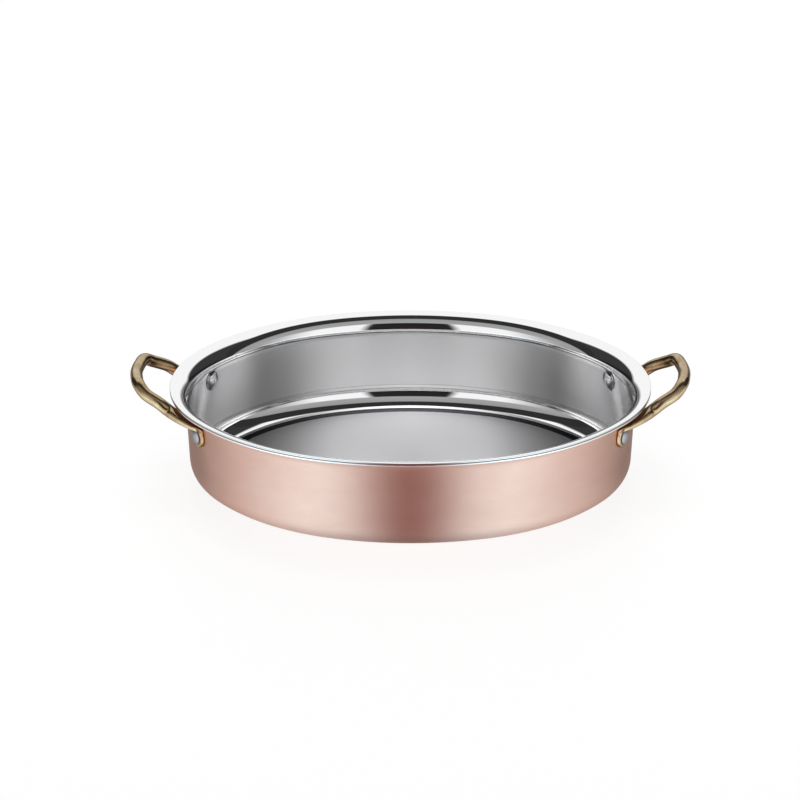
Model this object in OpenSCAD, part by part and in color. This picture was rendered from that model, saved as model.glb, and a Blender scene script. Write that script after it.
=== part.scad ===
// Oval two-handled serving pan: a bonded sheet body with a rolled-out lip, and two riveted loop handles.
// The origin is the centre of the base, +X runs through the handles, +Z is up.

/* [Body] */
// Length over the lip, without the handles
rim_l = 350; // [300:1:420]
// Width over the lip
rim_w = 274; // [256:1:304]
// Height from the base to the top of the lip
pan_h = 75; // [64:1:110]
// How far the lip reaches out from the inside of the wall
lip_reach = 13.8; // [13.4:0.2:18]
// Radius of the bend under the lip
lip_bend_r = 10.4; // [7:0.2:10.8]
// Radius inside the corner between floor and wall
corner_r = 16.5; // [10:0.5:20]
// How far the wall leans outwards, in degrees
wall_draft = 1.8; // [0.5:0.1:4]

/* [Bonded sheet] */
// Copper outside
copper_t = 0.4; // [0.3:0.05:0.7]
// Aluminium core
core_t = 1.8; // [1:0.1:2.2]
// Stainless steel inside
steel_t = 0.5; // [0.3:0.05:0.8]

/* [Rivets] */
// Diameter of the shank
rivet_d = 6; // [4:0.5:7]
// Gap between the shank and its holes, all round
rivet_clearance = 0.05; // [0.02:0.01:0.1]
// Direction of the rivets from the middle of an end's curve, in degrees
rivet_turn = 29; // [26:0.5:31]
// Depth of the rivets below the top of the lip
rivet_drop = 20; // [18.5:0.5:26]
// Diameter of the head inside the pan
inner_head_d = 15; // [11:0.5:17]
// Height of the head inside the pan
inner_head_h = 2.4; // [1.6:0.1:3]
// Diameter of the head on the handle
outer_head_d = 12; // [9:0.5:13.5]
// Height of the head on the handle
outer_head_h = 2.2; // [1.5:0.1:3]
// Height of the upright edge of a head
head_edge_h = 0.5; // [0.3:0.1:0.8]

/* [Handles] */
// Thickness of the round bar
bar_d = 9; // [7:0.5:10]
// How far the middle of the grip stands out beyond the lip
grip_out = 24; // [20:0.5:34]
// Height of the middle of the grip above the top of the lip
grip_rise = 8.5; // [4:0.5:16]
// Distance between the legs, as a share of the distance between the rivets
leg_share = 0.73; // [0.68:0.01:0.78]
// Gap between the legs and the lip
lip_gap = 1.3; // [1:0.1:2]
// Radius of the round lug under each rivet head
lug_r = 8.5; // [7.5:0.5:9]
// Thickness of the lug at its rivet
lug_t = 2.8; // [2.2:0.1:3.6]
// Height of the lug above its rivet, where the tang turns away from the wall
lug_rise = 6; // [5:0.5:8]

/* [Hidden] */
$fn = 96;
// Every cut runs this far past what it cuts
overrun = 5;
sheet_t = copper_t + core_t + steel_t;
// How far out the wall meets the middle of a bend, as a share of its radius
cross_share = 0.9995;

// Plan of the pan: an oval of eight arcs through the inside of the wall, just under the lip.
// The arcs change at these two directions, which have whole-number triangles, 3-4-5 and 7-24-25.
half_l = rim_l/2 - lip_reach;
half_w = rim_w/2 - lip_reach;
end_share = [4/5, 3/5];
side_share = [7/25, 24/25];
// Each radius is larger than the one before by a whole number of these steps, so that the arcs meet cleanly
radius_step = 0.1;
// The shoulder has the radius that an ellipse of this size has in the middle of it
shoulder_turn = (atan2(end_share.y, end_share.x) + atan2(side_share.y, side_share.x))/2;
ellipse_r = norm([half_l*cos(shoulder_turn), half_w*sin(shoulder_turn)]);
shoulder_r = pow(half_l*half_w/ellipse_r, 2)/ellipse_r;
// The arcs add up to half_l and to half_w: two equations
rest_l = half_l - shoulder_r;
rest_w = half_w - shoulder_r;
long_shares = [end_share.x - 1, side_share.x];
wide_shares = [-end_share.y, 1 - side_share.y];
solve_share = long_shares[0]*wide_shares[1] - long_shares[1]*wide_shares[0];
end_less = (rest_l*wide_shares[1] - long_shares[1]*rest_w)/solve_share;
side_more = (long_shares[0]*rest_w - rest_l*wide_shares[0])/solve_share;
end_steps = round(end_less/radius_step)*radius_step;
side_steps = round(side_more/radius_step)*radius_step;
end_r = half_l - end_share.x*end_steps - side_share.x*side_steps;
mid_r = end_r + end_steps;
side_r = mid_r + side_steps;
end_c = [half_l - end_r, 0];
mid_c = end_c - end_steps*end_share;
side_c = [0, mid_c.y - side_steps*side_share.y];

// Section of the sheet: x is the distance outwards from the plan oval and y is the height
lip_r = lip_bend_r + sheet_t;
lip_c = [lip_r*cos(wall_draft), pan_h - lip_r];
wall_top = lip_c.y + lip_r*sin(wall_draft);
corner_top = sheet_t + corner_r*(1 - sin(wall_draft));
corner_c = [-(wall_top - corner_top)*tan(wall_draft) - corner_r*cos(wall_draft), sheet_t + corner_r];
ring_in = corner_c.x - corner_r - sheet_t - overrun;

// Where the rivets pass through the wall
rivet_z = pan_h - rivet_drop;
rivet_r = end_r - (wall_top - rivet_z)*tan(wall_draft) + sheet_t/cos(wall_draft);
rivet_at = [end_c.x + rivet_r*cos(rivet_turn), rivet_r*sin(rivet_turn), rivet_z];
rivet_out = [cos(rivet_turn)*cos(wall_draft), sin(rivet_turn)*cos(wall_draft), -sin(wall_draft)];

// One arc of the plan, turned about its own centre and kept only between two flat cuts
module turned(centre, radius) {
  translate(centre) rotate_extrude($fn = 3*$fn) translate([radius, 0]) children();
}
module wedge(points) {
  translate([0, 0, -overrun]) linear_extrude(pan_h + 2*overrun) polygon(points);
}

// Carries a section right round the plan
module oval_sweep() {
  far = rim_l;
  end_cut = mid_c + far*end_share;
  side_cut = mid_c + far*side_share;
  for (m = [0, 1]) mirror([m, 0, 0]) {
    intersection() {
      turned(end_c, end_r) children();
      wedge([end_c, [end_cut.x, -end_cut.y], [2*far, 0], end_cut]);
    }
    for (n = [0, 1]) mirror([0, n, 0]) intersection() {
      turned(mid_c, mid_r) children();
      wedge([mid_c, end_cut, side_cut]);
    }
  }
  for (n = [0, 1]) mirror([0, n, 0]) intersection() {
    turned(side_c, side_r) children();
    wedge([side_c, side_cut, [0, 2*far], [-side_cut.x, side_cut.y]]);
  }
}

// Points of a quarter of the plan at a distance outwards from it
function on_arc(centre, radius, a) = [centre.x + radius*cos(a), centre.y + radius*sin(a)];
function plan_point(a, out) =
  a < atan2(end_share.y, end_share.x) ? on_arc(end_c, end_r + out, a)
  : a < atan2(side_share.y, side_share.x) ? on_arc(mid_c, mid_r + out, a)
  : on_arc(side_c, side_r + out, a);

// The middle of the floor, which the swept ring surrounds
module floor_plate(bottom, top) {
  quarter = [for (a = [0:6:90]) plan_point(a, ring_in + overrun/2)];
  last = len(quarter) - 1;
  outline = concat(
    quarter,
    [for (i = [last - 1:-1:0]) [-quarter[i].x, quarter[i].y]],
    [for (i = [1:last]) [-quarter[i].x, -quarter[i].y]],
    [for (i = [last - 1:-1:1]) [quarter[i].x, -quarter[i].y]]);
  translate([0, 0, bottom]) linear_extrude(top - bottom) polygon(outline);
}

// All that lies inside and above the surface at a depth into the sheet, from its inner face.
// The wall runs a hair inside both bends, so that it crosses them instead of just touching them.
module above_surface(depth) {
  corner = corner_r + depth;
  flare = lip_r - depth;
  lean = cross_share*[cos(wall_draft), -sin(wall_draft)];
  floor_z = corner_c.y - corner;
  brim_z = lip_c.y + flare;
  top = pan_h + overrun;
  difference() {
    union() {
      polygon([
        [ring_in, floor_z], [corner_c.x, floor_z], corner_c, corner_c + corner*lean, lip_c - flare*lean,
        lip_c, [lip_c.x, brim_z], [lip_reach, brim_z], [lip_reach, top], [ring_in, top]
      ]);
      translate(corner_c) circle(corner);
    }
    translate(lip_c) circle(flare);
  }
}

// One layer of the bonded sheet, between two depths from the inner face
module layer(from, to) {
  difference() {
    union() {
      oval_sweep() difference() {
        above_surface(to);
        above_surface(from);
      }
      floor_plate(sheet_t - to, sheet_t - from);
    }
    for (m = [0, 1], n = [0, 1]) mirror([m, 0, 0]) mirror([0, n, 0]) at_rivet() rivet_hole();
  }
}
module steel_liner() {
  color("gainsboro") layer(0, steel_t);
}
module aluminium_core() {
  color("silver") layer(steel_t, steel_t + core_t);
}
module copper_shell() {
  color([0.75, 0.5, 0.42]) layer(steel_t + core_t, sheet_t);
}

// Puts a piece on the outside of the wall at the rear right rivet, with z pointing out of the pan
module at_rivet() {
  translate(rivet_at) rotate([0, 90 + wall_draft, rivet_turn]) children();
}
module rivet_hole() {
  translate([0, 0, -sheet_t - overrun]) cylinder(d = rivet_d + 2*rivet_clearance, h = sheet_t + lug_t + 2*overrun);
}

// A low dome with an upright edge, standing on z = 0
module rivet_head(d, h) {
  cap_h = h - head_edge_h;
  cap_r = (d*d/4 + cap_h*cap_h)/(2*cap_h);
  intersection() {
    translate([0, 0, h - cap_r]) sphere(cap_r);
    translate([0, 0, -sheet_t]) cylinder(d = d, h = h + sheet_t);
  }
}

// The inner head is pressed against the curved wall, and the outer one lies on the flat lug
module rivet() {
  color("lightgray") {
    intersection() {
      at_rivet() translate([0, 0, -sheet_t]) rotate([180, 0, 0]) rivet_head(inner_head_d, inner_head_h);
      turned(end_c, end_r) above_surface(0);
    }
    at_rivet() {
      translate([0, 0, -sheet_t - inner_head_h/2]) cylinder(d = rivet_d, h = sheet_t + lug_t + inner_head_h/2);
      translate([0, 0, lug_t]) intersection() {
        rivet_head(outer_head_d, outer_head_h);
        cylinder(d = outer_head_d, h = outer_head_h);
      }
    }
  }
}
module rivet_right_rear() {
  rivet();
}
module rivet_right_front() {
  mirror([0, 1, 0]) rivet();
}
module rivet_left_rear() {
  mirror([1, 0, 0]) rivet();
}
module rivet_left_front() {
  mirror([1, 0, 0]) mirror([0, 1, 0]) rivet();
}

// Centre line of half a handle, from the rear lug to the middle of the grip
rivet_up = [cos(rivet_turn)*sin(wall_draft), sin(rivet_turn)*sin(wall_draft), cos(wall_draft)];
lug_mid = rivet_at + rivet_out*lug_t/2;
// The drawn loop starts part of the way up the lug, above the hole
lug_start_share = 0.6;
// How far the top of the lug moves out, as a share of its thickness, and up, as a share of its height
lug_bend_shares = [0.8, 0.25];
lug_top = lug_mid + rivet_up*lug_rise + [lug_t*lug_bend_shares.x, 0, lug_rise*lug_bend_shares.y];
// A leg passes the lower edge of the lip slantwise, this many degrees below level
pass_turn = 43;
pass_off = bar_d/2 + lip_gap;
leg_y = leg_share*rivet_at.y;
edge_x = end_c.x + sqrt(pow(end_r + lip_reach, 2) - leg_y*leg_y);
leg_clear = [edge_x + pass_off*cos(pass_turn), leg_y, pan_h - sheet_t - pass_off*sin(pass_turn)];
grip_at = [rim_l/2 + grip_out, 0, pan_h + grip_rise];
// How far along each stretch its points are, along x, y and z
tang_shares = [[0.2, 0.2, 0.14], [0.48, 0.48, 0.42], [0.76, 0.76, 0.72]];
leg_shares = [[0.27, 0.05, 0.34], [0.65, 0.17, 0.68], [0.86, 0.36, 0.98], [0.95, 0.64, 1.02]];
function stretch(from, to, shares) =
  [for (s = shares) [for (k = [0:2]) from[k] + (to[k] - from[k])*s[k]]];
handle_path = concat(
  [lug_mid + rivet_up*lug_rise*lug_start_share, lug_mid + rivet_up*lug_rise, lug_top],
  stretch(lug_top, leg_clear, tang_shares), [leg_clear],
  stretch(leg_clear, grip_at, leg_shares), [grip_at]);

// At each point: which way the width runs in plan, and how far that is squared to the path
lug_turn = 90 + rivet_turn;
handle_turns = [lug_turn, lug_turn, 107, 93, 82, 74, 70, 70, 53, 26, 9, 0];
upright_shares = [0, 0, 0, 0, 0.3, 0.7, 1, 1, 1, 1, 1, 1];
// Width and thickness at each point as shares of the lug's and then of the bar's
lug_width_shares = [1, 1, 0.95];
lug_depth_shares = [0.8, 0.8, 1.25];
bar_width_shares = [1.32, 1.26, 1.14, 1, 1, 1, 1, 1, 1];
bar_depth_shares = [0.5, 0.64, 0.82, 1, 1, 1, 1, 1, 1];
// How the section rounds: 1 is round, and smaller is squarer
round_shares = [0.5, 0.5, 0.52, 0.56, 0.64, 0.76, 1, 1, 1, 1, 1, 1];
tang_share = 1.6;
tang_w = tang_share*lug_r;
handle_width = concat(tang_w*lug_width_shares, bar_d*bar_width_shares);
handle_depth = concat(lug_t*lug_depth_shares, bar_d*bar_depth_shares);

// Values between the points of a list, on a smooth curve through them
function at_index(v, i) = v[max(0, min(len(v) - 1, i))];
function smooth(p, q, r, s, t) =
  0.5*(2*q + (r - p)*t + (2*p - 5*q + 4*r - s)*t*t + (3*q - p - 3*r + s)*t*t*t);
function blend(v, u) = let(i = min(floor(u), len(v) - 2))
  smooth(at_index(v, i - 1), v[i], v[i + 1], at_index(v, i + 2), u - i);
function mix(v, u) = let(i = min(floor(u), len(v) - 2)) v[i] + (v[i + 1] - v[i])*(u - i);
function unit(v) = v/norm(v);
function power(v, e) = sign(v)*pow(abs(v), e);
// The curve ends square to the plane between the two halves of a handle
mirrored_end = let(p = handle_path[len(handle_path) - 2]) [p.x, -p.y, p.z];
full_path = concat(handle_path, [mirrored_end]);
handle_sides = 18;
handle_steps = 4;
function handle_ring(u) = let(
    step_share = 0.02,
    along = unit(blend(full_path, u + step_share) - blend(full_path, max(0, u - step_share))),
    turn = mix(handle_turns, u),
    level = [cos(turn), sin(turn), 0],
    across = unit(level - mix(upright_shares, u)*(level*along)*along),
    up = unit(cross(along, across)),
    centre = blend(full_path, u),
    w = mix(handle_width, u)/2,
    h = mix(handle_depth, u)/2,
    e = mix(round_shares, u))
  [for (k = [0:handle_sides - 1]) let(a = 360*k/handle_sides)
    centre + across*w*power(cos(a), e) + up*h*power(sin(a), e)];

// The loop of a handle, drawn out from its two lugs in one piece
module handle_loop() {
  last = len(handle_path) - 1;
  half = [for (u = [0:1/handle_steps:last]) handle_ring(u)];
  other = [for (i = [len(half) - 2:-1:0]) [for (p = half[i]) [p.x, -p.y, p.z]]];
  rings = concat(half, other);
  n = handle_sides;
  points = [for (r = rings) each r];
  sides = [for (i = [0:len(rings) - 2], k = [0:n - 1]) let(j = (k + 1)%n)
    each [[i*n + k, (i + 1)*n + j, i*n + j], [i*n + k, (i + 1)*n + k, (i + 1)*n + j]]];
  caps = [[for (k = [0:n - 1]) k], [for (k = [n - 1:-1:0]) (len(rings) - 1)*n + k]];
  polyhedron(points, concat(sides, caps), convexity = 10);
}
// A flat lug with a round end under its rivet. It starts inside the wall, whose curve then cuts its back.
lug_sink_share = 0.5;
plate_shares = [1.1, 1.06];
module lug() {
  plate = [lug_rise*plate_shares.x, tang_w*plate_shares.y, lug_t*(1 + lug_sink_share)];
  difference() {
    translate([0, 0, -lug_t*lug_sink_share]) {
      cylinder(r = lug_r, h = plate.z);
      translate([-plate.x, -plate.y/2, 0]) cube(plate);
    }
    rivet_hole();
  }
}
module handle() {
  color([0.55, 0.45, 0.28]) {
    handle_loop();
    for (n = [0, 1]) mirror([0, n, 0]) difference() {
      at_rivet() lug();
      turned(end_c, end_r) above_surface(sheet_t);
    }
  }
}
module right_handle() {
  handle();
}
module left_handle() {
  mirror([1, 0, 0]) handle();
}

steel_liner();
aluminium_core();
copper_shell();
left_handle();
right_handle();
rivet_left_rear();
rivet_left_front();
rivet_right_rear();
rivet_right_front();
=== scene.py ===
import math

import bpy
import numpy as np
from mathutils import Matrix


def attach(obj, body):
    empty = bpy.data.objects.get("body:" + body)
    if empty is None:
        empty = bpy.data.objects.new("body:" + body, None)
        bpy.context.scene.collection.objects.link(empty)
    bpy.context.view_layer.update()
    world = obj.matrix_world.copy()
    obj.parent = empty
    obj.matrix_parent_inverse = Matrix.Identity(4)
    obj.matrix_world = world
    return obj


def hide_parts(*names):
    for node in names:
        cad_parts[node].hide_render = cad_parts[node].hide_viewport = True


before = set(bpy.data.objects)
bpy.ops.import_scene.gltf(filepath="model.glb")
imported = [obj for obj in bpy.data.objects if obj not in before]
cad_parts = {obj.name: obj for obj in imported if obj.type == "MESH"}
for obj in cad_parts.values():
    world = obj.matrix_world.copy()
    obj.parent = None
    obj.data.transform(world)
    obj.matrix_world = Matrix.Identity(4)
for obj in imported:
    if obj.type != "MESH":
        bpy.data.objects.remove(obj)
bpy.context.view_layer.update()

# Sizes in millimetres, the same as in the CAD
RIM_L, RIM_W, PAN_H = 350.0, 274.0, 75.0
LIP_REACH, LIP_BEND_R, CORNER_R, DRAFT = 13.8, 10.4, 16.5, math.radians(1.8)
COPPER_T, CORE_T, STEEL_T = 0.4, 1.8, 0.5
SHEET_T = COPPER_T + CORE_T + STEEL_T
RIVET_D, RIVET_TURN, RIVET_DROP = 6.0, math.radians(29), 20.0
INNER_D, INNER_H, OUTER_D, OUTER_H, HEAD_EDGE = 15.0, 2.4, 12.0, 2.2, 0.5
BAR_D, GRIP_OUT, GRIP_RISE = 9.0, 24.0, 8.5
LEG_SHARE, LIP_GAP, PASS_TURN = 0.73, 1.3, math.radians(43)
LUG_R, LUG_T, LUG_RISE = 8.5, 2.8, 6.0
MM = 0.001
LINER_EDGE_R, SHELL_EDGE_R = 0.35, 0.25
# How far a rivet head's mesh goes on into what it sits on, and the shank into both heads
OUTER_SINK, INNER_SINK, SHANK_IN_INNER, SHANK_IN_OUTER = 0.15, 0.35, 0.4, 0.2
# Polygons round a rivet head, a rivet shank and a handle's bar
HEAD_SIDES, SHANK_SIDES, BAR_SIDES = 72, 32, 40
# Heights in metres that the painted reflection on the cut edge is placed between
EDGE_FROM, EDGE_SPAN = 0.0725, 0.002
# Heights in millimetres of the brushed band and the painted reflections on the steel
WALL_BAND, RING_TOP = (16.0, 62.5), 3.7
LOWER_LINE, UPPER_LINE = (18.6, 19.1), (62.4, 63.2)
# Turns the brushing a quarter, so that it runs round the body
BRUSH_TURN = 0.25
# The stage floor, in metres
FLOOR_HALF, FLOOR_DROP = 6, 0.0002
# Material slots of a rivet
SATIN, POLISHED, PAINTED_SHADE = 0, 1, 2

# The plan oval of eight arcs, through the inside of the wall
half_l, half_w = RIM_L/2 - LIP_REACH, RIM_W/2 - LIP_REACH
END, SIDE = np.array([0.8, 0.6]), np.array([0.28, 0.96])
shoulder_turn = (math.atan2(END[1], END[0]) + math.atan2(SIDE[1], SIDE[0]))/2
ellipse_r = math.hypot(half_l*math.cos(shoulder_turn), half_w*math.sin(shoulder_turn))
shoulder_r = (half_l*half_w/ellipse_r)**2/ellipse_r
end_less, side_more = np.round(np.linalg.solve(
    [[END[0] - 1, SIDE[0]], [-END[1], 1 - SIDE[1]]],
    [half_l - shoulder_r, half_w - shoulder_r])/0.1)*0.1
end_r = half_l - END[0]*end_less - SIDE[0]*side_more
mid_r = end_r + end_less
side_r = mid_r + side_more
end_c = np.array([half_l - end_r, 0.0])
mid_c = end_c - end_less*END
side_c = np.array([0.0, mid_c[1] - side_more*SIDE[1]])

# Section of the sheet: distance outwards from the plan oval, and height
lip_r = LIP_BEND_R + SHEET_T
lip_c = np.array([lip_r*math.cos(DRAFT), PAN_H - lip_r])
wall_top = lip_c[1] + lip_r*math.sin(DRAFT)
corner_top = SHEET_T + CORNER_R*(1 - math.sin(DRAFT))
corner_in = (wall_top - corner_top)*math.tan(DRAFT) + CORNER_R*math.cos(DRAFT)
corner_c = np.array([-corner_in, SHEET_T + CORNER_R])


def plan_ring(n_end=44, n_mid=34, n_side=44):
    """Points and outward normals once round the oval, starting on +X."""
    def arc(c, r, a0, a1, n):
        a = np.linspace(a0, a1, n, endpoint=False)
        normal = np.stack([np.cos(a), np.sin(a)], 1)
        return c + r*normal, normal
    a1, a2 = math.atan2(END[1], END[0]), math.atan2(SIDE[1], SIDE[0])
    parts = [
        arc(end_c, end_r, 0, a1, n_end),
        arc(mid_c, mid_r, a1, a2, n_mid),
        arc(side_c, side_r, a2, math.pi/2, n_side)]
    p = np.concatenate([q[0] for q in parts])
    n = np.concatenate([q[1] for q in parts])
    top_p, top_n = np.array([[0, side_c[1] + side_r]]), np.array([[0.0, 1.0]])
    half_p = np.concatenate([p, top_p, (p*[-1, 1])[:0:-1]])
    half_n = np.concatenate([n, top_n, (n*[-1, 1])[:0:-1]])
    return np.concatenate([half_p, -half_p]), np.concatenate([half_n, -half_n])


def make_mesh(name, verts, faces, material, nodes, sharp=None):
    """An object of the part, from points in millimetres, that replaces nodes of the CAD."""
    mesh = bpy.data.meshes.new(name)
    points = [tuple(v) for v in np.asarray(verts)*MM]
    mesh.from_pydata(points, [], [tuple(int(i) for i in f) for f in faces])
    mesh.validate()
    mesh.materials.append(material)
    mesh.polygons.foreach_set("use_smooth", [True]*len(mesh.polygons))
    if sharp:
        mesh.set_sharp_from_angle(angle=math.radians(sharp))
    mesh.update()
    obj = bpy.data.objects.new(name, mesh)
    bpy.context.scene.collection.objects.link(obj)
    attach(obj, "root")
    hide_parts(*nodes)
    return obj


def grid_faces(rows, cols):
    """Quads between rings of points, each ring closed on itself."""
    faces = []
    for i in range(rows - 1):
        for j in range(cols):
            k = (j + 1) % cols
            faces.append((i*cols + j, i*cols + k, (i + 1)*cols + k, (i + 1)*cols + j))
    return faces


def surface(depth, n_corner=14, n_lip=16, edge_r=0.0):
    """Section of the surface at a depth into the sheet, from the floor's edge to the lip's edge."""
    corner, flare = CORNER_R + depth, lip_r - depth
    a = np.linspace(-math.pi/2, -DRAFT, n_corner)
    bend = corner_c + corner*np.stack([np.cos(a), np.sin(a)], 1)
    b = np.linspace(math.pi - DRAFT, math.pi/2, n_lip)
    lip = lip_c + flare*np.stack([np.cos(b), np.sin(b)], 1)
    wall = bend[-1] + (lip[0] - bend[-1])*np.linspace(0, 1, 8)[1:-1, None]
    brim = [[lip_c[0] + (LIP_REACH - edge_r - lip_c[0])*t, lip_c[1] + flare] for t in (0.5, 1.0)]
    return np.concatenate([bend, wall, lip, brim])


def edge_round(depth, r, down=True):
    """A quarter round at the edge of the lip, under a top edge or over a lower one."""
    z = lip_c[1] + lip_r - depth
    a = np.linspace(90, 0, 7)[1:] if down else np.linspace(0, -90, 7)[:-1]
    a = np.radians(a)
    cz = z - r if down else z + r
    return np.stack([LIP_REACH - r + r*np.cos(a), cz + r*np.sin(a)], 1)


ring_p, ring_n = plan_ring()
N = len(ring_p)


def at_height(ring, z):
    return np.concatenate([ring, np.full((N, 1), z)], 1)


def swept(section):
    return np.concatenate([at_height(ring_p + off*ring_n, z) for off, z in section])


def layer(name, inner, outer, material, replaced, inner_r=0.0, outer_r=0.0):
    """One layer of the sheet between two depths, closed at the middle of the floor."""
    top = surface(inner, edge_r=inner_r)
    if inner_r:
        top = np.concatenate([top, edge_round(inner, inner_r)])
    under = surface(outer, edge_r=outer_r)
    if outer_r:
        under = np.concatenate([under, edge_round(outer, outer_r, down=False)[::-1]])
    section = np.concatenate([top, under[::-1]])
    verts = swept(section)
    faces = grid_faces(len(section), N)
    shares = [0.97, 0.9, 0.78, 0.64, 0.5, 0.36, 0.24, 0.13, 0.05]
    for off_z, first, up in ((top[0], 0, True), (under[0], (len(section) - 1)*N, False)):
        edge = ring_p + off_z[0]*ring_n
        last = first
        for s in shares:
            start = len(verts)
            verts = np.concatenate([verts, at_height(edge*s, off_z[1])])
            for j in range(N):
                k = (j + 1) % N
                q = (last + j, last + k, start + k, start + j)
                faces.append(q if up else q[::-1])
            last = start
        centre = len(verts)
        verts = np.concatenate([verts, [[0, 0, off_z[1]]]])
        for j in range(N):
            t = (last + j, last + (j + 1) % N, centre)
            faces.append(t if up else t[::-1])
    faces = [f[::-1] if i < (len(section) - 1)*N else f for i, f in enumerate(faces)]
    return make_mesh(name, verts, faces, material, [replaced], sharp=32)


# ---------------------------------------------------------------- materials
def new_material(name):
    m = bpy.data.materials.new(name)
    m.use_nodes = True
    tree = m.node_tree
    return m, tree, tree.nodes["Principled BSDF"]


def new_metal(name):
    m, tree, bsdf = new_material(name)
    bsdf.inputs["Metallic"].default_value = 1.0
    return m, tree, bsdf


def node(tree, kind, inputs=None, **props):
    """A shader node, with each input set to a value or linked to a socket."""
    n = tree.nodes.new(kind)
    for k, v in props.items():
        setattr(n, k, v)
    for k, v in (inputs or {}).items():
        if isinstance(v, bpy.types.NodeSocket):
            tree.links.new(v, n.inputs[k])
        else:
            n.inputs[k].default_value = v
    return n


def maths(tree, op, a, b=0.0, clamp=False):
    return node(tree, "ShaderNodeMath", {0: a, 1: b}, operation=op, use_clamp=clamp).outputs[0]


def noise(tree, vector, scale, detail, rough):
    settings = {
        "Vector": vector, "Scale": scale, "Detail": detail, "Roughness": rough, "Distortion": 0.0}
    return node(tree, "ShaderNodeTexNoise", settings).outputs["Fac"]


def stretched(tree, scale):
    """Object coordinates, squeezed or stretched along each axis."""
    co = node(tree, "ShaderNodeTexCoord").outputs["Object"]
    return node(tree, "ShaderNodeMapping", {"Vector": co, "Scale": scale}).outputs[0]


def object_height(tree):
    co = node(tree, "ShaderNodeTexCoord").outputs["Object"]
    return node(tree, "ShaderNodeSeparateXYZ", {0: co}).outputs[2]


def ramp(tree, fac, stops):
    """A colour ramp with straight runs between (position, grey or colour) stops."""
    n = node(tree, "ShaderNodeValToRGB", {"Fac": fac})
    n.color_ramp.interpolation = "LINEAR"
    e = n.color_ramp.elements
    while len(e) > 1:
        e.remove(e[0])
    for i, (pos, col) in enumerate(stops):
        col = (col, col, col, 1) if not isinstance(col, tuple) else (*col[:3], 1)
        if i == 0:
            e[0].position, e[0].color = pos, col
        else:
            e.new(pos).color = col
    return n.outputs["Color"]


def band(tree, x, low, high, soft):
    """1 between two values, 0 outside them, with soft ends."""
    rise = maths(tree, "DIVIDE", maths(tree, "SUBTRACT", x, low), soft, clamp=True)
    fall = maths(tree, "DIVIDE", maths(tree, "SUBTRACT", high, x), soft, clamp=True)
    return maths(tree, "MULTIPLY", rise, fall)


def mixed(tree, fac, a, b):
    """Colour a where fac is 0 and colour b where it is 1."""
    n = node(tree, "ShaderNodeMix", data_type="RGBA")
    # The colour sockets of a Mix node are inputs 6 and 7 and output 2
    for i, v in ((0, fac), (6, a), (7, b)):
        if isinstance(v, bpy.types.NodeSocket):
            tree.links.new(v, n.inputs[i])
        else:
            n.inputs[i].default_value = v
    return n.outputs[2]


def brush_round(tree, bsdf):
    """Brushed round the body, which blurs what it reflects up and down."""
    bsdf.inputs["Anisotropic Rotation"].default_value = BRUSH_TURN
    tangent = node(tree, "ShaderNodeTangent", direction_type="RADIAL", axis="Z")
    tree.links.new(tangent.outputs[0], bsdf.inputs["Tangent"])


def add_bump(tree, bsdf, height, strength, distance):
    bump = node(tree, "ShaderNodeBump", {"Height": height, "Strength": strength, "Distance": distance})
    tree.links.new(bump.outputs[0], bsdf.inputs["Normal"])


def steel_material():
    m, t, bsdf = new_metal("polished_steel")
    # Fine wipe marks that only show as a slight change of gloss
    marks = noise(t, stretched(t, (60, 60, 14)), 9.0, 5.0, 0.6)
    rough = ramp(t, marks, [(0.35, 0.025), (0.75, 0.06)])
    # The upright wall and the floor are brushed, and the corner and the flare are polished
    tall = maths(t, "DIVIDE", object_height(t), MM)
    wall = band(t, tall, *WALL_BAND, 3.0)
    flat = band(t, tall, -1.0, SHEET_T + 0.15, 0.1)
    satin = mixed(t, flat, rough, (0.32, 0.32, 0.32, 1))
    t.links.new(mixed(t, wall, satin, (0.27, 0.27, 0.27, 1)), bsdf.inputs["Roughness"])
    # The floor's steel is painted darker than the wall's, painted shade, and a dark ring is
    # painted where the floor turns up into the corner, a painted reflection,
    tone = mixed(t, flat, (0.91, 0.91, 0.915, 1), (0.57, 0.57, 0.58, 1))
    tone = mixed(t, band(t, tall, SHEET_T + 0.01, RING_TOP, 0.04), tone, (0.05, 0.05, 0.055, 1))
    # and thin dark lines where the wall meets the corner and the flare, likewise painted reflections
    lines = maths(t, "ADD", maths(t, "MULTIPLY", band(t, tall, *LOWER_LINE, 0.1), 0.5),
                  maths(t, "MULTIPLY", band(t, tall, *UPPER_LINE, 0.1), 0.8))
    t.links.new(mixed(t, lines, tone, (0.06, 0.06, 0.065, 1)), bsdf.inputs["Base Color"])
    t.links.new(maths(t, "MULTIPLY", maths(t, "ADD", wall, flat), 0.96), bsdf.inputs["Anisotropic"])
    brush_round(t, bsdf)
    waves = noise(t, stretched(t, (9, 9, 5)), 2.0, 1.0, 0.4)
    add_bump(t, bsdf, waves, 0.025, 0.004)
    return m


def aluminium_material():
    m, t, bsdf = new_metal("cut_aluminium")
    lines = noise(t, stretched(t, (40, 40, 900)), 6.0, 2.0, 0.5)
    tone = ramp(t, lines, [(0.3, (0.84, 0.82, 0.80)), (0.7, (0.93, 0.91, 0.88))])
    # The part of the cut edge next to the steel is dark in the photo
    # That dark is painted on the upper part of the cut edge, a painted reflection
    height = object_height(t)
    up_edge = maths(t, "MULTIPLY", maths(t, "SUBTRACT", height, EDGE_FROM), 1/EDGE_SPAN)
    painted_edge_reflection = ramp(t, up_edge, [(0.42, 0.0), (0.56, 1.0)])
    t.links.new(mixed(t, painted_edge_reflection, tone, (0.17, 0.16, 0.16, 1)), bsdf.inputs["Base Color"])
    t.links.new(ramp(t, lines, [(0.3, 0.30), (0.7, 0.42)]), bsdf.inputs["Roughness"])
    return m


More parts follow.
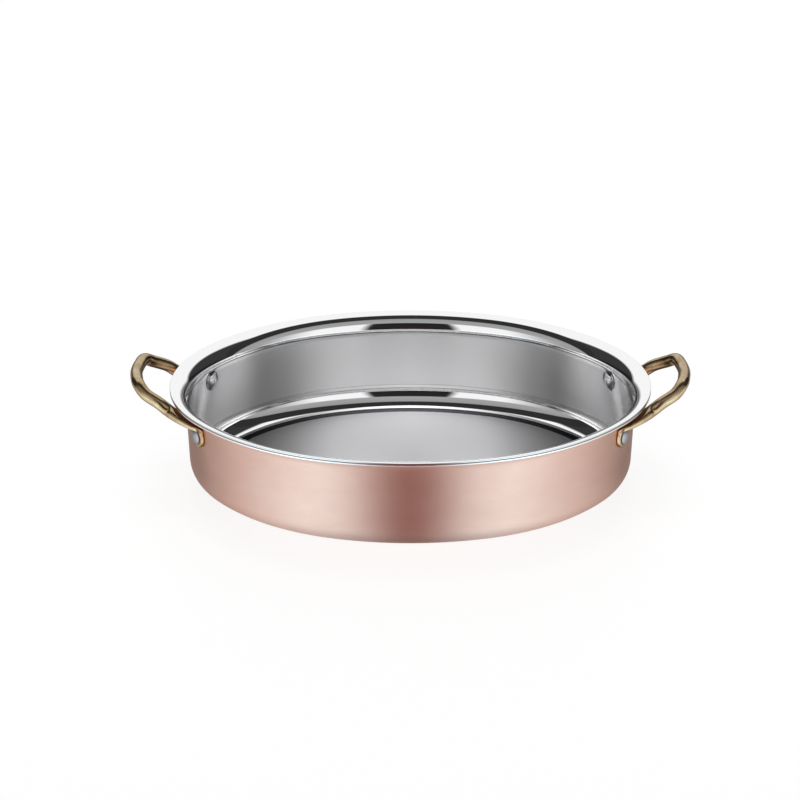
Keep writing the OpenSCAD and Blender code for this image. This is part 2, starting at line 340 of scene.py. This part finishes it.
def copper_material():
    m, t, bsdf = new_metal("satin_copper")
    tint = noise(t, stretched(t, (14, 14, 26)), 1.6, 3.0, 0.55)
    tone = ramp(t, tint, [(0.3, (0.78, 0.515, 0.425)), (0.7, (0.82, 0.57, 0.48))])
    t.links.new(tone, bsdf.inputs["Base Color"])
    grain = noise(t, stretched(t, (30, 30, 1500)), 3.0, 3.0, 0.6)
    t.links.new(ramp(t, grain, [(0.25, 0.44), (0.75, 0.54)]), bsdf.inputs["Roughness"])
    bsdf.inputs["Anisotropic"].default_value = 0.8
    brush_round(t, bsdf)
    add_bump(t, bsdf, grain, 0.06, 0.0003)
    return m


def brass_material():
    m, t, bsdf = new_metal("aged_brass")
    patches = noise(t, stretched(t, (70, 70, 70)), 1.2, 3.0, 0.5)
    tone = ramp(t, patches, [
        (0.3, (0.30, 0.19, 0.085)), (0.5, (0.42, 0.295, 0.16)), (0.7, (0.56, 0.43, 0.265))])
    # Fine dark specks, and a brighter tone on what stands out, a painted highlight
    specks = noise(t, stretched(t, (700, 700, 700)), 1.0, 4.0, 0.65)
    painted_highlight = node(t, "ShaderNodeNewGeometry").outputs["Pointiness"]
    tone = mixed(t, ramp(t, painted_highlight, [(0.50, 0.0), (0.56, 1.0)]), tone, (0.64, 0.50, 0.32, 1))
    tone = mixed(t, ramp(t, specks, [(0.27, 0.7), (0.42, 0.0)]), tone, (0.12, 0.075, 0.035, 1))
    t.links.new(tone, bsdf.inputs["Base Color"])
    t.links.new(ramp(t, specks, [(0.3, 0.27), (0.7, 0.18)]), bsdf.inputs["Roughness"])
    add_bump(t, bsdf, specks, 0.15, 0.0003)
    return m


def rivet_material(name, rough, tone):
    m, t, bsdf = new_metal(name)
    bsdf.inputs["Base Color"].default_value = (*tone, 1)
    grain = noise(t, stretched(t, (1200, 1200, 1200)), 1.0, 3.0, 0.6)
    t.links.new(ramp(t, grain, [(0.3, rough*0.8), (0.7, rough*1.2)]), bsdf.inputs["Roughness"])
    add_bump(t, bsdf, grain, 0.1, 0.0002)
    return m


steel, aluminium = steel_material(), aluminium_material()
copper, brass = copper_material(), brass_material()
rivet_in = rivet_material("polished_rivet", 0.08, (0.80, 0.80, 0.82))
rivet_out = rivet_material("satin_rivet", 0.38, (0.40, 0.39, 0.41))
# A near-black material for the upright edges of the heads, painted shade
painted_shade_rivet = rivet_material("rivet_painted_shade", 0.5, (0.05, 0.045, 0.04))

# ---------------------------------------------------------------- the three layers
layer("steel_liner_skin", 0, STEEL_T, steel, "steel_liner", inner_r=LINER_EDGE_R)
layer("aluminium_core_skin", STEEL_T, STEEL_T + CORE_T, aluminium, "aluminium_core")
layer("copper_shell_skin", STEEL_T + CORE_T, SHEET_T, copper, "copper_shell",
      outer_r=SHELL_EDGE_R)

# ---------------------------------------------------------------- rivets
rivet_z = PAN_H - RIVET_DROP
rivet_r = end_r - (wall_top - rivet_z)*math.tan(DRAFT) + SHEET_T/math.cos(DRAFT)
turn_c, turn_s = math.cos(RIVET_TURN), math.sin(RIVET_TURN)
rivet_at = np.array([end_c[0] + rivet_r*turn_c, rivet_r*turn_s, rivet_z])
out = np.array([turn_c*math.cos(DRAFT), turn_s*math.cos(DRAFT), -math.sin(DRAFT)])
up = np.array([turn_c*math.sin(DRAFT), turn_s*math.sin(DRAFT), math.cos(DRAFT)])
along_wall = np.cross(up, out)


def head_section(d, h, edge, under):
    """Radius and height of a low dome, from under its edge to its middle."""
    cap = h - edge
    r = (d*d/4 + cap*cap)/(2*cap)
    top = math.asin(d/2/r)
    a = np.linspace(top*0.97, 0.03, 14)
    dome = np.stack([r*np.sin(a), h - r + r*np.cos(a)], 1)
    side = np.array([
        [d/2 - 0.15, -under], [d/2 - 0.02, 0.0], [d/2, edge*0.5], [d/2 - 0.05, edge - 0.05]])
    return np.concatenate([side, dome])


def lathe(section, origin, axis, side_axis, n=HEAD_SIDES, wall_bend=0.0):
    """A closed turned shape round an axis, from its section of radius and height."""
    other = np.cross(axis, side_axis)
    verts = []
    for r, h in section:
        a = np.arange(n)*2*math.pi/n
        x, y = r*np.cos(a), r*np.sin(a)
        # x runs along the wall, so the head bends with it
        drop = -(x*x)*wall_bend
        across = np.outer(x, side_axis) + np.outer(y, other)
        verts.append(origin + across + np.outer(h + drop, axis))
    verts = np.concatenate(verts)
    faces = grid_faces(len(section), n)
    faces.append(tuple(range(n))[::-1])
    faces.append(tuple((len(section) - 1)*n + i for i in range(n)))
    return verts, faces


def rivet(name, sx, sy):
    mirror = np.array([sx, sy, 1.0])
    outer = head_section(OUTER_D, OUTER_H, HEAD_EDGE, OUTER_SINK)
    inner = head_section(INNER_D, INNER_H, HEAD_EDGE, INNER_SINK)
    v1, f1 = lathe(outer, rivet_at + out*LUG_T, out, along_wall)
    # The inner head follows the curve of the inside of the wall
    inside_bend = -1/(2*(rivet_r - SHEET_T))
    v2, f2 = lathe(inner, rivet_at - out*SHEET_T, -out, along_wall, wall_bend=inside_bend)
    shank = np.array([[RIVET_D/2, -SHEET_T - SHANK_IN_INNER], [RIVET_D/2, LUG_T + SHANK_IN_OUTER]])
    v3, f3 = lathe(shank, rivet_at, out, along_wall, n=SHANK_SIDES)
    verts = np.concatenate([v1, v2, v3])
    faces = f1 + [tuple(i + len(v1) for i in f) for f in f2]
    faces += [tuple(i + len(v1) + len(v2) for i in f) for f in f3]
    if sx*sy < 0:
        faces = [f[::-1] for f in faces]
    obj = make_mesh(name + "_body", verts*mirror, faces, rivet_out, [name], sharp=40)
    obj.data.materials.append(rivet_in)
    obj.data.materials.append(painted_shade_rivet)
    # The upright edge of a head is dark in the photo
    # These edges get the near-black material, painted shade
    for p in obj.data.polygons:
        at = p.index - len(f1)
        if 0 <= at < len(f2):
            p.material_index = PAINTED_SHADE if at < 3*HEAD_SIDES else POLISHED
        elif p.index < 2*HEAD_SIDES:
            p.material_index = PAINTED_SHADE
        else:
            p.material_index = SATIN
    return obj


for sx, side in ((1, "right"), (-1, "left")):
    for sy, end in ((1, "rear"), (-1, "front")):
        rivet(f"rivet_{side}_{end}", sx, sy)

# ---------------------------------------------------------------- handles
lug_mid = rivet_at + out*LUG_T/2
lug_top = lug_mid + up*LUG_RISE + np.array([LUG_T*0.8, 0, LUG_RISE*0.25])
# A leg passes the lower edge of the lip slantwise
pass_off, leg_y = BAR_D/2 + LIP_GAP, LEG_SHARE*rivet_at[1]
edge_x = end_c[0] + math.sqrt((end_r + LIP_REACH)**2 - leg_y**2)
leg_clear = np.array([
    edge_x + pass_off*math.cos(PASS_TURN), leg_y, PAN_H - SHEET_T - pass_off*math.sin(PASS_TURN)])
grip_at = np.array([RIM_L/2 + GRIP_OUT, 0, PAN_H + GRIP_RISE])


def between(a, b, *shares):
    return a + (b - a)*np.array(shares)


def catmull(values, u):
    """Smooth values between the points of a list."""
    v = np.asarray(values, float)
    i = np.clip(np.floor(u).astype(int), 0, len(v) - 2)
    t = (u - i).reshape(-1, *([1]*(v.ndim - 1)))
    p, q, r, s = v[np.maximum(i - 1, 0)], v[i], v[i + 1], v[np.minimum(i + 2, len(v) - 1)]
    return 0.5*(2*q + (r - p)*t + (2*p - 5*q + 4*r - s)*t*t + (3*q - p - 3*r + s)*t**3)


lug_a = 90 + math.degrees(RIVET_TURN)
# Stations along half of the loop: the point, which way its width runs in plan, how far that is
# squared to the path, the width, the thickness and how square the section is (2 is an ellipse)
stations = [
    (lug_mid, lug_a, 0, 2*LUG_R, LUG_T, 5),
    (lug_mid + up*2.0, lug_a, 0, 2*LUG_R*0.975, LUG_T, 5),
    (lug_mid + up*3.9, lug_a, 0, 2*LUG_R*0.905, LUG_T, 4.6),
    (lug_mid + up*LUG_RISE*0.98, lug_a, 0, 2*LUG_R*0.835, LUG_T*1.05, 4.2),
    (lug_top, 107, 0, 2*LUG_R*0.76, LUG_T*1.25, 3.85),
    (between(lug_top, leg_clear, 0.20, 0.20, 0.14), 93, 0, BAR_D*1.32, BAR_D*0.5, 3.5),
    (between(lug_top, leg_clear, 0.48, 0.48, 0.42), 82, 0.3, BAR_D*1.26, BAR_D*0.64, 3.1),
    (between(lug_top, leg_clear, 0.76, 0.76, 0.72), 74, 0.7, BAR_D*1.14, BAR_D*0.82, 2.6),
    (leg_clear, 70, 1, BAR_D, BAR_D, 2),
    (between(leg_clear, grip_at, 0.27, 0.05, 0.34), 70, 1, BAR_D, BAR_D, 2),
    (between(leg_clear, grip_at, 0.65, 0.17, 0.68), 53, 1, BAR_D, BAR_D, 2),
    (between(leg_clear, grip_at, 0.86, 0.36, 0.98), 26, 1, BAR_D, BAR_D, 2),
    (between(leg_clear, grip_at, 0.95, 0.64, 1.02), 9, 1, BAR_D, BAR_D, 2),
    (grip_at, 0, 1, BAR_D, BAR_D, 2),
]
centres = np.array([s[0] for s in stations])
# The curve goes on past the middle of the grip, so that both halves meet squarely
centres_on = np.concatenate([centres, centres[-2:-1]*[1, -1, 1]])


def handle_half():
    """Rings of the loop from the round end of a lug to the middle of the grip."""
    rings = []
    k = np.arange(BAR_SIDES)*2*math.pi/BAR_SIDES
    ca, sa = np.cos(k), np.sin(k)

    def ring(centre, across, normal, w, h, squareness, wrap):
        e = 2/squareness
        x = w/2*np.sign(ca)*np.abs(ca)**e
        y = h/2*np.sign(sa)*np.abs(sa)**e
        bend = -x*x/(2*rivet_r)*wrap
        return centre + np.outer(x, across) + np.outer(y, normal) + np.outer(bend, out)

    # The round end of the lug, below the rivet
    for a in np.linspace(-math.pi/2*0.985, 0, 18)[:-1]:
        d, w = LUG_R*math.sin(a), 2*LUG_R*math.cos(a)
        h = LUG_T*(1 - 0.25*max(0, -math.sin(a) - 0.8))
        rings.append(ring(lug_mid + up*d, along_wall, np.cross(up, along_wall), w, h, 5, 1))
    last = len(stations) - 1
    for u in np.linspace(0, last, last*10 + 1):
        uu = np.array([u])
        c = catmull(centres_on, uu)[0]
        step = 0.01
        along = catmull(centres_on, uu + step)[0] - catmull(centres_on, np.maximum(uu - step, 0))[0]
        along /= np.linalg.norm(along)
        turn, upright, w, h, sq = (catmull([s[i] for s in stations], uu)[0] for i in range(1, 6))
        level = np.array([math.cos(math.radians(turn)), math.sin(math.radians(turn)), 0])
        across = level - np.clip(upright, 0, 1)*(level@along)*along
        across /= np.linalg.norm(across)
        normal = np.cross(along, across)
        normal /= np.linalg.norm(normal)
        wrap = max(0.0, 1 - u/4)
        rings.append(ring(c, across, normal, w, h, max(2.0, sq), wrap))
    return np.array(rings)


def handle(name, sx):
    half = handle_half()
    rings = np.concatenate([half, (half*[1, -1, 1])[-2::-1]])
    verts = rings.reshape(-1, 3)
    faces = grid_faces(len(rings), BAR_SIDES)
    faces.append(tuple(range(BAR_SIDES))[::-1])
    faces.append(tuple((len(rings) - 1)*BAR_SIDES + i for i in range(BAR_SIDES)))
    if sx < 0:
        faces = [f[::-1] for f in faces]
    return make_mesh(name + "_loop", verts*[sx, 1, 1], faces, brass, [name])


handle("right_handle", 1)
handle("left_handle", -1)

# ---------------------------------------------------------------- stage, light and camera
floor_mesh = bpy.data.meshes.new("floor")
corners = [(x*FLOOR_HALF, y*FLOOR_HALF, 0) for x, y in ((-1, -1), (1, -1), (1, 1), (-1, 1))]
floor_mesh.from_pydata(corners, [], [(0, 1, 2, 3)])
floor = bpy.data.objects.new("floor", floor_mesh)
bpy.context.scene.collection.objects.link(floor)
floor.location.z = -FLOOR_DROP
fm, ft, fb = new_material("floor")
fb.inputs["Roughness"].default_value = 0.6
fb.inputs["Specular IOR Level"].default_value = 0.1
path = node(ft, "ShaderNodeLightPath")
seen = path.outputs["Is Camera Ray"]
ft.links.new(mixed(ft, seen, (0.8, 0.8, 0.8, 1), (0.22, 0.22, 0.22, 1)), fb.inputs["Base Color"])
fb.inputs["Emission Color"].default_value = (1, 1, 1, 1)
ft.links.new(maths(ft, "MULTIPLY", seen, 0.85), fb.inputs["Emission Strength"])
floor.visible_glossy = False
floor_mesh.materials.append(fm)

world = bpy.data.worlds.new("studio")
bpy.context.scene.world = world
world.use_nodes = True
wt = world.node_tree
background = wt.nodes["Background"]
co = node(wt, "ShaderNodeTexCoord").outputs["Generated"]
xyz = node(wt, "ShaderNodeSeparateXYZ", {0: co})
dx, dy, dz = xyz.outputs
# Reflections show a studio that is painted here to match the photo, not the white background.
# Angle over the object: 0 at the far horizon, 0.5 overhead, 1 at the camera's horizon
over = maths(wt, "DIVIDE", maths(wt, "ARCTAN2", dz, dy), math.pi)
across = maths(wt, "ABSOLUTE", dx)
# A white panel behind the object, dark near the table, a dark gap overhead and a grey ceiling
panel = ramp(wt, across, [(0.50, 1.0), (0.58, 0.04)])
panel = maths(wt, "MULTIPLY", panel, ramp(wt, dz, [(0.08, 0.15), (0.20, 1.0)]))
ceiling = ramp(wt, over, [(0.583, 0.03), (0.595, 0.34), (0.76, 0.40)])
arch = mixed(wt, ramp(wt, over, [(0.418, 0.0), (0.43, 1.0)]), panel, ceiling)
# Angle round the object: 0 towards the camera, 1 straight away from it
away = maths(wt, "MULTIPLY", dy, -1.0)
round_it = maths(wt, "DIVIDE", maths(wt, "ARCTAN2", across, away), math.pi)
front = ramp(wt, round_it, [
    (0.0, 0.02), (0.085, 0.02), (0.105, 1.0), (0.22, 1.0), (0.36, 0.45), (0.50, 0.16),
    (0.52, 0.14), (0.53, 0.0), (0.585, 0.0), (0.595, 0.12), (0.70, 0.05)])
upper = mixed(wt, ramp(wt, over, [(0.745, 0.0), (0.76, 1.0)]), arch, front)
# Near the table: a dark middle, bright cards on both sides, tinted and brighter than white where
# the photo's copper is bleached, and less light farther round
sides = ramp(wt, round_it, [
    (0.0, (0.25, 0.0, 0.0)), (0.045, (0.34, 0.05, 0.01)), (0.08, (0.78, 0.60, 0.58)),
    (0.13, (1.48, 1.75, 1.9)), (0.20, (1.70, 2.17, 2.40)), (0.27, (1.64, 2.05, 2.25)),
    (0.36, (1.4, 1.58, 1.68)), (0.47, (1.15, 1.18, 1.2)), (0.56, (0.95, 0.93, 0.92)),
    (0.64, (0.72, 0.67, 0.64)), (0.72, (0.52, 0.47, 0.45)), (1.0, (0.42, 0.39, 0.38))])
# Straight down there is only the shadow that the object stands in
under = ramp(wt, maths(wt, "MULTIPLY", dz, -1.0), [(0.80, 1.0), (0.96, 0.12)])
sides = mixed(wt, under, (0.0, 0.0, 0.0, 1), sides)
low_near = ramp(wt, dz, [(0.02, 1.0), (0.09, 0.0)])
low_far = maths(wt, "DIVIDE", maths(wt, "SUBTRACT", -0.10, dz), 0.06, clamp=True)
low = mixed(wt, ramp(wt, round_it, [(0.50, 0.0), (0.56, 1.0)]), low_near, low_far)
once = mixed(wt, low, upper, sides)
# What comes over two bounces inside the pan has a ramp of its own, fitted to the photo
rays = node(wt, "ShaderNodeLightPath")
deep = ramp(wt, round_it, [
    (0.0, 2.0), (0.16, 1.65), (0.22, 1.2), (0.267, 0.80), (0.311, 0.52), (0.367, 0.32),
    (0.411, 0.20), (0.489, 0.11), (0.515, 0.08), (0.525, 0.0), (0.59, 0.0), (0.60, 0.16),
    (0.65, 0.11), (0.70, 0.03), (0.79, 0.03), (0.85, 0.4)])
# The world counts the first reflection as depth 2
again = maths(wt, "GREATER_THAN", rays.outputs["Ray Depth"], 2.5)
light = mixed(wt, again, once, deep)
camera_ray = rays.outputs["Is Camera Ray"]
wt.links.new(mixed(wt, camera_ray, light, (1, 1, 1, 1)), background.inputs["Color"])
background.inputs["Strength"].default_value = 1.0

top = bpy.data.lights.new("soft_top", "AREA")
top.shape, top.size, top.size_y, top.energy = "RECTANGLE", 1.6, 1.2, 12
lamp = bpy.data.objects.new("soft_top", top)
lamp.location = (0, 0.3, 2.2)
lamp.visible_glossy = False
bpy.context.scene.collection.objects.link(lamp)

TILT, DISTANCE = math.radians(26.07), 1.89
cam = bpy.data.cameras.new("camera")
cam.sensor_width, cam.lens = 36.0, 114.67
cam.shift_x, cam.shift_y = -0.013, 0.09305
camera = bpy.data.objects.new("camera", cam)
camera.location = (0, -DISTANCE*math.cos(TILT), DISTANCE*math.sin(TILT))
camera.rotation_euler = (math.pi/2 - TILT, 0, 0)
bpy.context.scene.collection.objects.link(camera)
bpy.context.scene.camera = camera
bpy.context.scene.view_settings.view_transform = "Standard"
